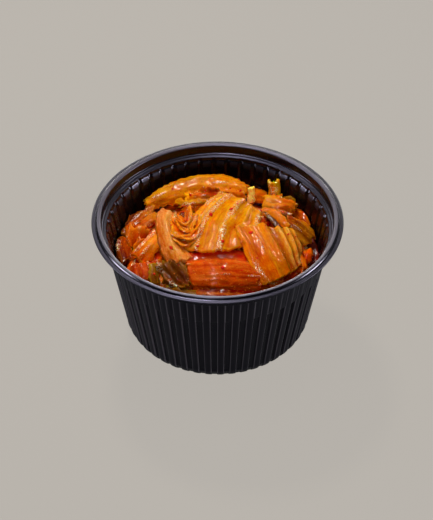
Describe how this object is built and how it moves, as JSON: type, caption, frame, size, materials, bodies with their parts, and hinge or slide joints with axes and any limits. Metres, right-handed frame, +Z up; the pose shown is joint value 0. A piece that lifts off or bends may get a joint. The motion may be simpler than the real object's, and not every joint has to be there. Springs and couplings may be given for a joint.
{
  "type": "bowl of stir-fried kimchi",
  "caption": "Heap of stir-fried cabbage kimchi in red chilli sauce, filling a round black ribbed takeaway bowl with a turned-out lip.",
  "frame": {"origin": "centre of the flat base, on the surface the bowl stands on", "axes": "+Z up, out of the bowl's mouth; -Y towards the viewer, with the broad leaf over the middle and the thick stem lying in front"},
  "size_m": [0.101, 0.101, 0.056],
  "materials": {
    "tub": "black polypropylene, moulded, satin to glossy",
    "kimchi_orange": "stir-fried cabbage, orange, oily and wet",
    "kimchi_yellow": "stir-fried cabbage leaf, golden yellow, oily and wet",
    "kimchi_stem": "thick cabbage stem, pale peach, wet and partly translucent",
    "kimchi_red": "cabbage soaked in chilli sauce, red-orange, glossy",
    "kimchi_green": "dark green leaf, nearly black, wet",
    "kimchi_olive": "olive green leaf edge, wet",
    "sauce": "dark red chilli oil sauce, liquid, mirror-smooth"
  },
  "bodies": {
    "root": {"tub": "tub", "right_leaf": "kimchi_yellow", "centre_leaf": "kimchi_yellow", "back_leaf": "kimchi_yellow", "right_slab": "kimchi_yellow", "right_curl": "kimchi_yellow", "heart_stem": "kimchi_stem", "back_stub": "kimchi_stem", "heart_fold_inner": "kimchi_orange", "heart_fold_middle": "kimchi_orange", "heart_fold_outer": "kimchi_orange", "left_twist": "kimchi_orange", "left_cup": "kimchi_orange", "left_chunk": "kimchi_orange", "left_slab": "kimchi_orange", "left_ridge": "kimchi_orange", "right_strip": "kimchi_orange", "right_lump": "kimchi_orange", "right_chunk": "kimchi_orange", "back_flap": "kimchi_orange", "front_stem": "kimchi_red", "tucked_leaf": "kimchi_red", "front_under_stem": "kimchi_red", "kimchi_bed": "kimchi_red", "green_leaf": "kimchi_green", "green_strip": "kimchi_green", "green_stalk": "kimchi_olive", "green_roll": "kimchi_olive", "olive_curl": "kimchi_olive", "back_crinkle": "kimchi_olive", "sauce": "sauce"}
  },
  "joints": []
}
